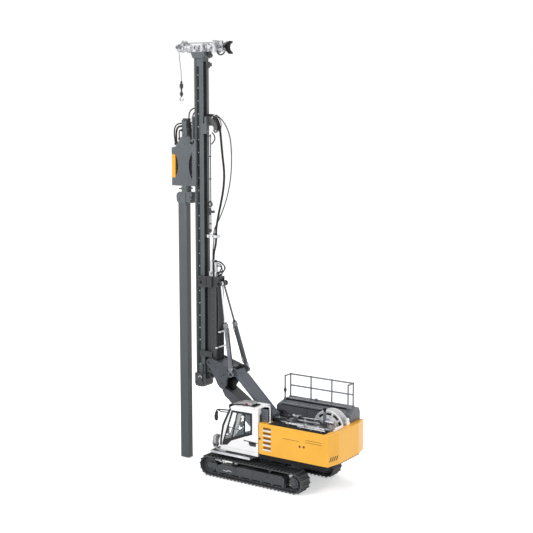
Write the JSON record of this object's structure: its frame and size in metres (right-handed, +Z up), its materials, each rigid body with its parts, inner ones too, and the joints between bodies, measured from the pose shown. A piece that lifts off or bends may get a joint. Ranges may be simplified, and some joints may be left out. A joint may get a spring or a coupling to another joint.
{
  "type": "scale model of a rotary piling rig",
  "caption": "Tracked piling rig model: slewing upper with cab, parallelogram boom and a tall tilting mast whose sliding drive grips a pile.",
  "frame": {"origin": "centre of the bounding box, at the floor under the tracks", "axes": "+X forward from the tail to the mast, +Y to the cab's side (left), +Z up along the mast"},
  "size_m": [0.1846, 0.0668, 0.3806],
  "materials": {
    "track_rubber": "matt",
    "frame_paint": "satin",
    "wheel_paint": "satin",
    "house_paint": "satin gloss",
    "hood_paint": "satin",
    "rail_wire": "satin",
    "pump_plastic": "satin",
    "bare_metal": "satin",
    "winch_paint": "satin",
    "cab_paint": "gloss",
    "cab_trim": "satin",
    "cab_glass": "clear",
    "lamp_metal": "satin",
    "linkage_paint": "satin",
    "near_cylinder": "bright",
    "far_cylinder": "satin",
    "rods": "bright",
    "mast_paint": "satin",
    "masthead_metal": "satin",
    "black_fitting": "satin",
    "drive_paint": "satin",
    "signal_block": "satin gloss",
    "pile_metal": "satin",
    "saddle_plastic": "matt",
    "hose_rubber": "matt",
    "thin_hose_plastic": "matt",
    "clip_metal": "satin",
    "rope_thread": "twisted thread",
    "hook_metal": "satin"
  },
  "bodies": {
    "undercarriage": {"car_body": "frame_paint", "side_frames": "frame_paint", "track_left": "track_rubber", "track_right": "track_rubber", "sprockets": "wheel_paint", "idlers": "wheel_paint", "rollers": "wheel_paint"},
    "upper": {"deck_frame": "frame_paint", "house_left": "house_paint", "house_right": "house_paint", "house_tail": "house_paint", "hood_right": "hood_paint", "railing": "rail_wire", "pump": "pump_plastic", "pipes": "bare_metal", "winch_stands": "winch_paint", "cab_shell": "cab_paint", "cab_frames": "cab_trim", "cab_glass": "cab_glass", "cab_seat": "cab_trim", "roof_guard": "bare_metal", "side_step": "frame_paint", "rear_box": "pump_plastic", "rear_handrail": "rail_wire", "mirror": "cab_trim", "work_lamp": "lamp_metal", "walkway": "frame_paint"},
    "winch": {"winch_drum": "bare_metal"},
    "boom": {"lower_boom": "linkage_paint"},
    "arm": {"upper_arm": "linkage_paint"},
    "crank": {"bell_crank": "linkage_paint"},
    "carrier": {"carrier": "linkage_paint", "carrier_hoses": "hose_rubber", "carrier_clips": "clip_metal", "hose_manifold": "clip_metal"},
    "barrel_near": {"barrel_left": "near_cylinder"},
    "barrel_far": {"barrel_right": "far_cylinder"},
    "rod_near": {"rod_left": "rods"},
    "rod_far": {"rod_right": "rods"},
    "mast": {"mast": "mast_paint", "mast_foot": "mast_paint", "mast_fittings": "masthead_metal", "masthead": "masthead_metal", "rear_hanger": "black_fitting", "hose_clip": "clip_metal", "rope": "rope_thread", "hook_block": "hook_metal", "main_hose_lower": "hose_rubber", "thin_hose_lower": "thin_hose_plastic"},
    "sheave_front": {"sheave_front": "masthead_metal"},
    "sheave_rear": {"sheave_rear": "masthead_metal"},
    "sledge": {"sledge": "drive_paint", "drive_unit": "drive_paint", "drive_block": "signal_block", "clamp": "drive_paint", "pile": "pile_metal", "hose_saddle": "saddle_plastic", "drive_hoses": "hose_rubber", "main_hose_upper": "hose_rubber", "thin_hose_upper": "thin_hose_plastic"}
  },
  "joints": [
    {"name": "slew", "type": "hinge", "parent": "undercarriage", "child": "upper", "pos_m": [-0.0133, 0, 0.024], "axis": [0, 0, 1], "continuous": true},
    {"name": "winch_turn", "type": "hinge", "parent": "upper", "child": "winch", "pos_m": [-0.0709, 0, 0.0519], "axis": [0, 1, 0], "continuous": true},
    {"name": "boom_raise", "type": "hinge", "parent": "upper", "child": "boom", "pos_m": [-0.0063, 0, 0.043], "axis": [0, -1, 0], "range_deg": [-10, 15]},
    {"name": "arm_swing", "type": "hinge", "parent": "upper", "child": "arm", "pos_m": [-0.0159, 0, 0.0546], "axis": [0, -1, 0], "range_deg": [-10, 15]},
    {"name": "crank_level", "type": "hinge", "parent": "boom", "child": "crank", "pos_m": [0.0297, 0, 0.077], "axis": [0, -1, 0], "range_deg": [-15, 10]},
    {"name": "mast_tilt", "type": "hinge", "parent": "crank", "child": "carrier", "pos_m": [0.0467, 0, 0.096], "axis": [0, 1, 0], "range_deg": [-12, 5]},
    {"name": "barrel_swing_near", "type": "hinge", "parent": "crank", "child": "barrel_near", "pos_m": [0.0201, 0.0126, 0.0886], "axis": [0, 1, 0], "range_deg": [-10.2, 4.25]},
    {"name": "rod_slide_near", "type": "slide", "parent": "barrel_near", "child": "rod_near", "axis": [0.2253, -0.1312, 0.9654], "range_m": [-0.0055, 0.0025]},
    {"name": "barrel_swing_far", "type": "hinge", "parent": "crank", "child": "barrel_far", "pos_m": [0.0201, -0.0126, 0.0886], "axis": [0, 1, 0], "range_deg": [-10.2, 4.25]},
    {"name": "rod_slide_far", "type": "slide", "parent": "barrel_far", "child": "rod_far", "axis": [0.2253, 0.1312, 0.9654], "range_m": [-0.0055, 0.0025]},
    {"name": "mast_slide", "type": "slide", "parent": "carrier", "child": "mast", "axis": [0, 0, 1], "range_m": [-0.018, 0.011], "deforming": ["main_hose_lower", "thin_hose_lower"]},
    {"name": "sheave_front_turn", "type": "hinge", "parent": "mast", "child": "sheave_front", "pos_m": [0.0869, -0.0076, 0.3744], "axis": [0, 1, 0], "continuous": true},
    {"name": "sheave_rear_turn", "type": "hinge", "parent": "mast", "child": "sheave_rear", "pos_m": [0.0371, 0, 0.3732], "axis": [0, 1, 0], "continuous": true},
    {"name": "drive_slide", "type": "slide", "parent": "mast", "child": "sledge", "axis": [0, 0, 1], "range_m": [-0.058, 0.04], "deforming": ["main_hose_upper", "thin_hose_upper"]}
  ],
  "couplings": [
    {"joint": "arm_swing", "follows": "boom_raise", "ratio": 1},
    {"joint": "crank_level", "follows": "boom_raise", "ratio": -1},
    {"joint": "barrel_swing_near", "follows": "mast_tilt", "ratio": 0.85},
    {"joint": "rod_slide_near", "follows": "mast_tilt", "m_per_rad": 0.0247},
    {"joint": "barrel_swing_far", "follows": "mast_tilt", "ratio": 0.85},
    {"joint": "rod_slide_far", "follows": "mast_tilt", "m_per_rad": 0.0247}
  ]
}
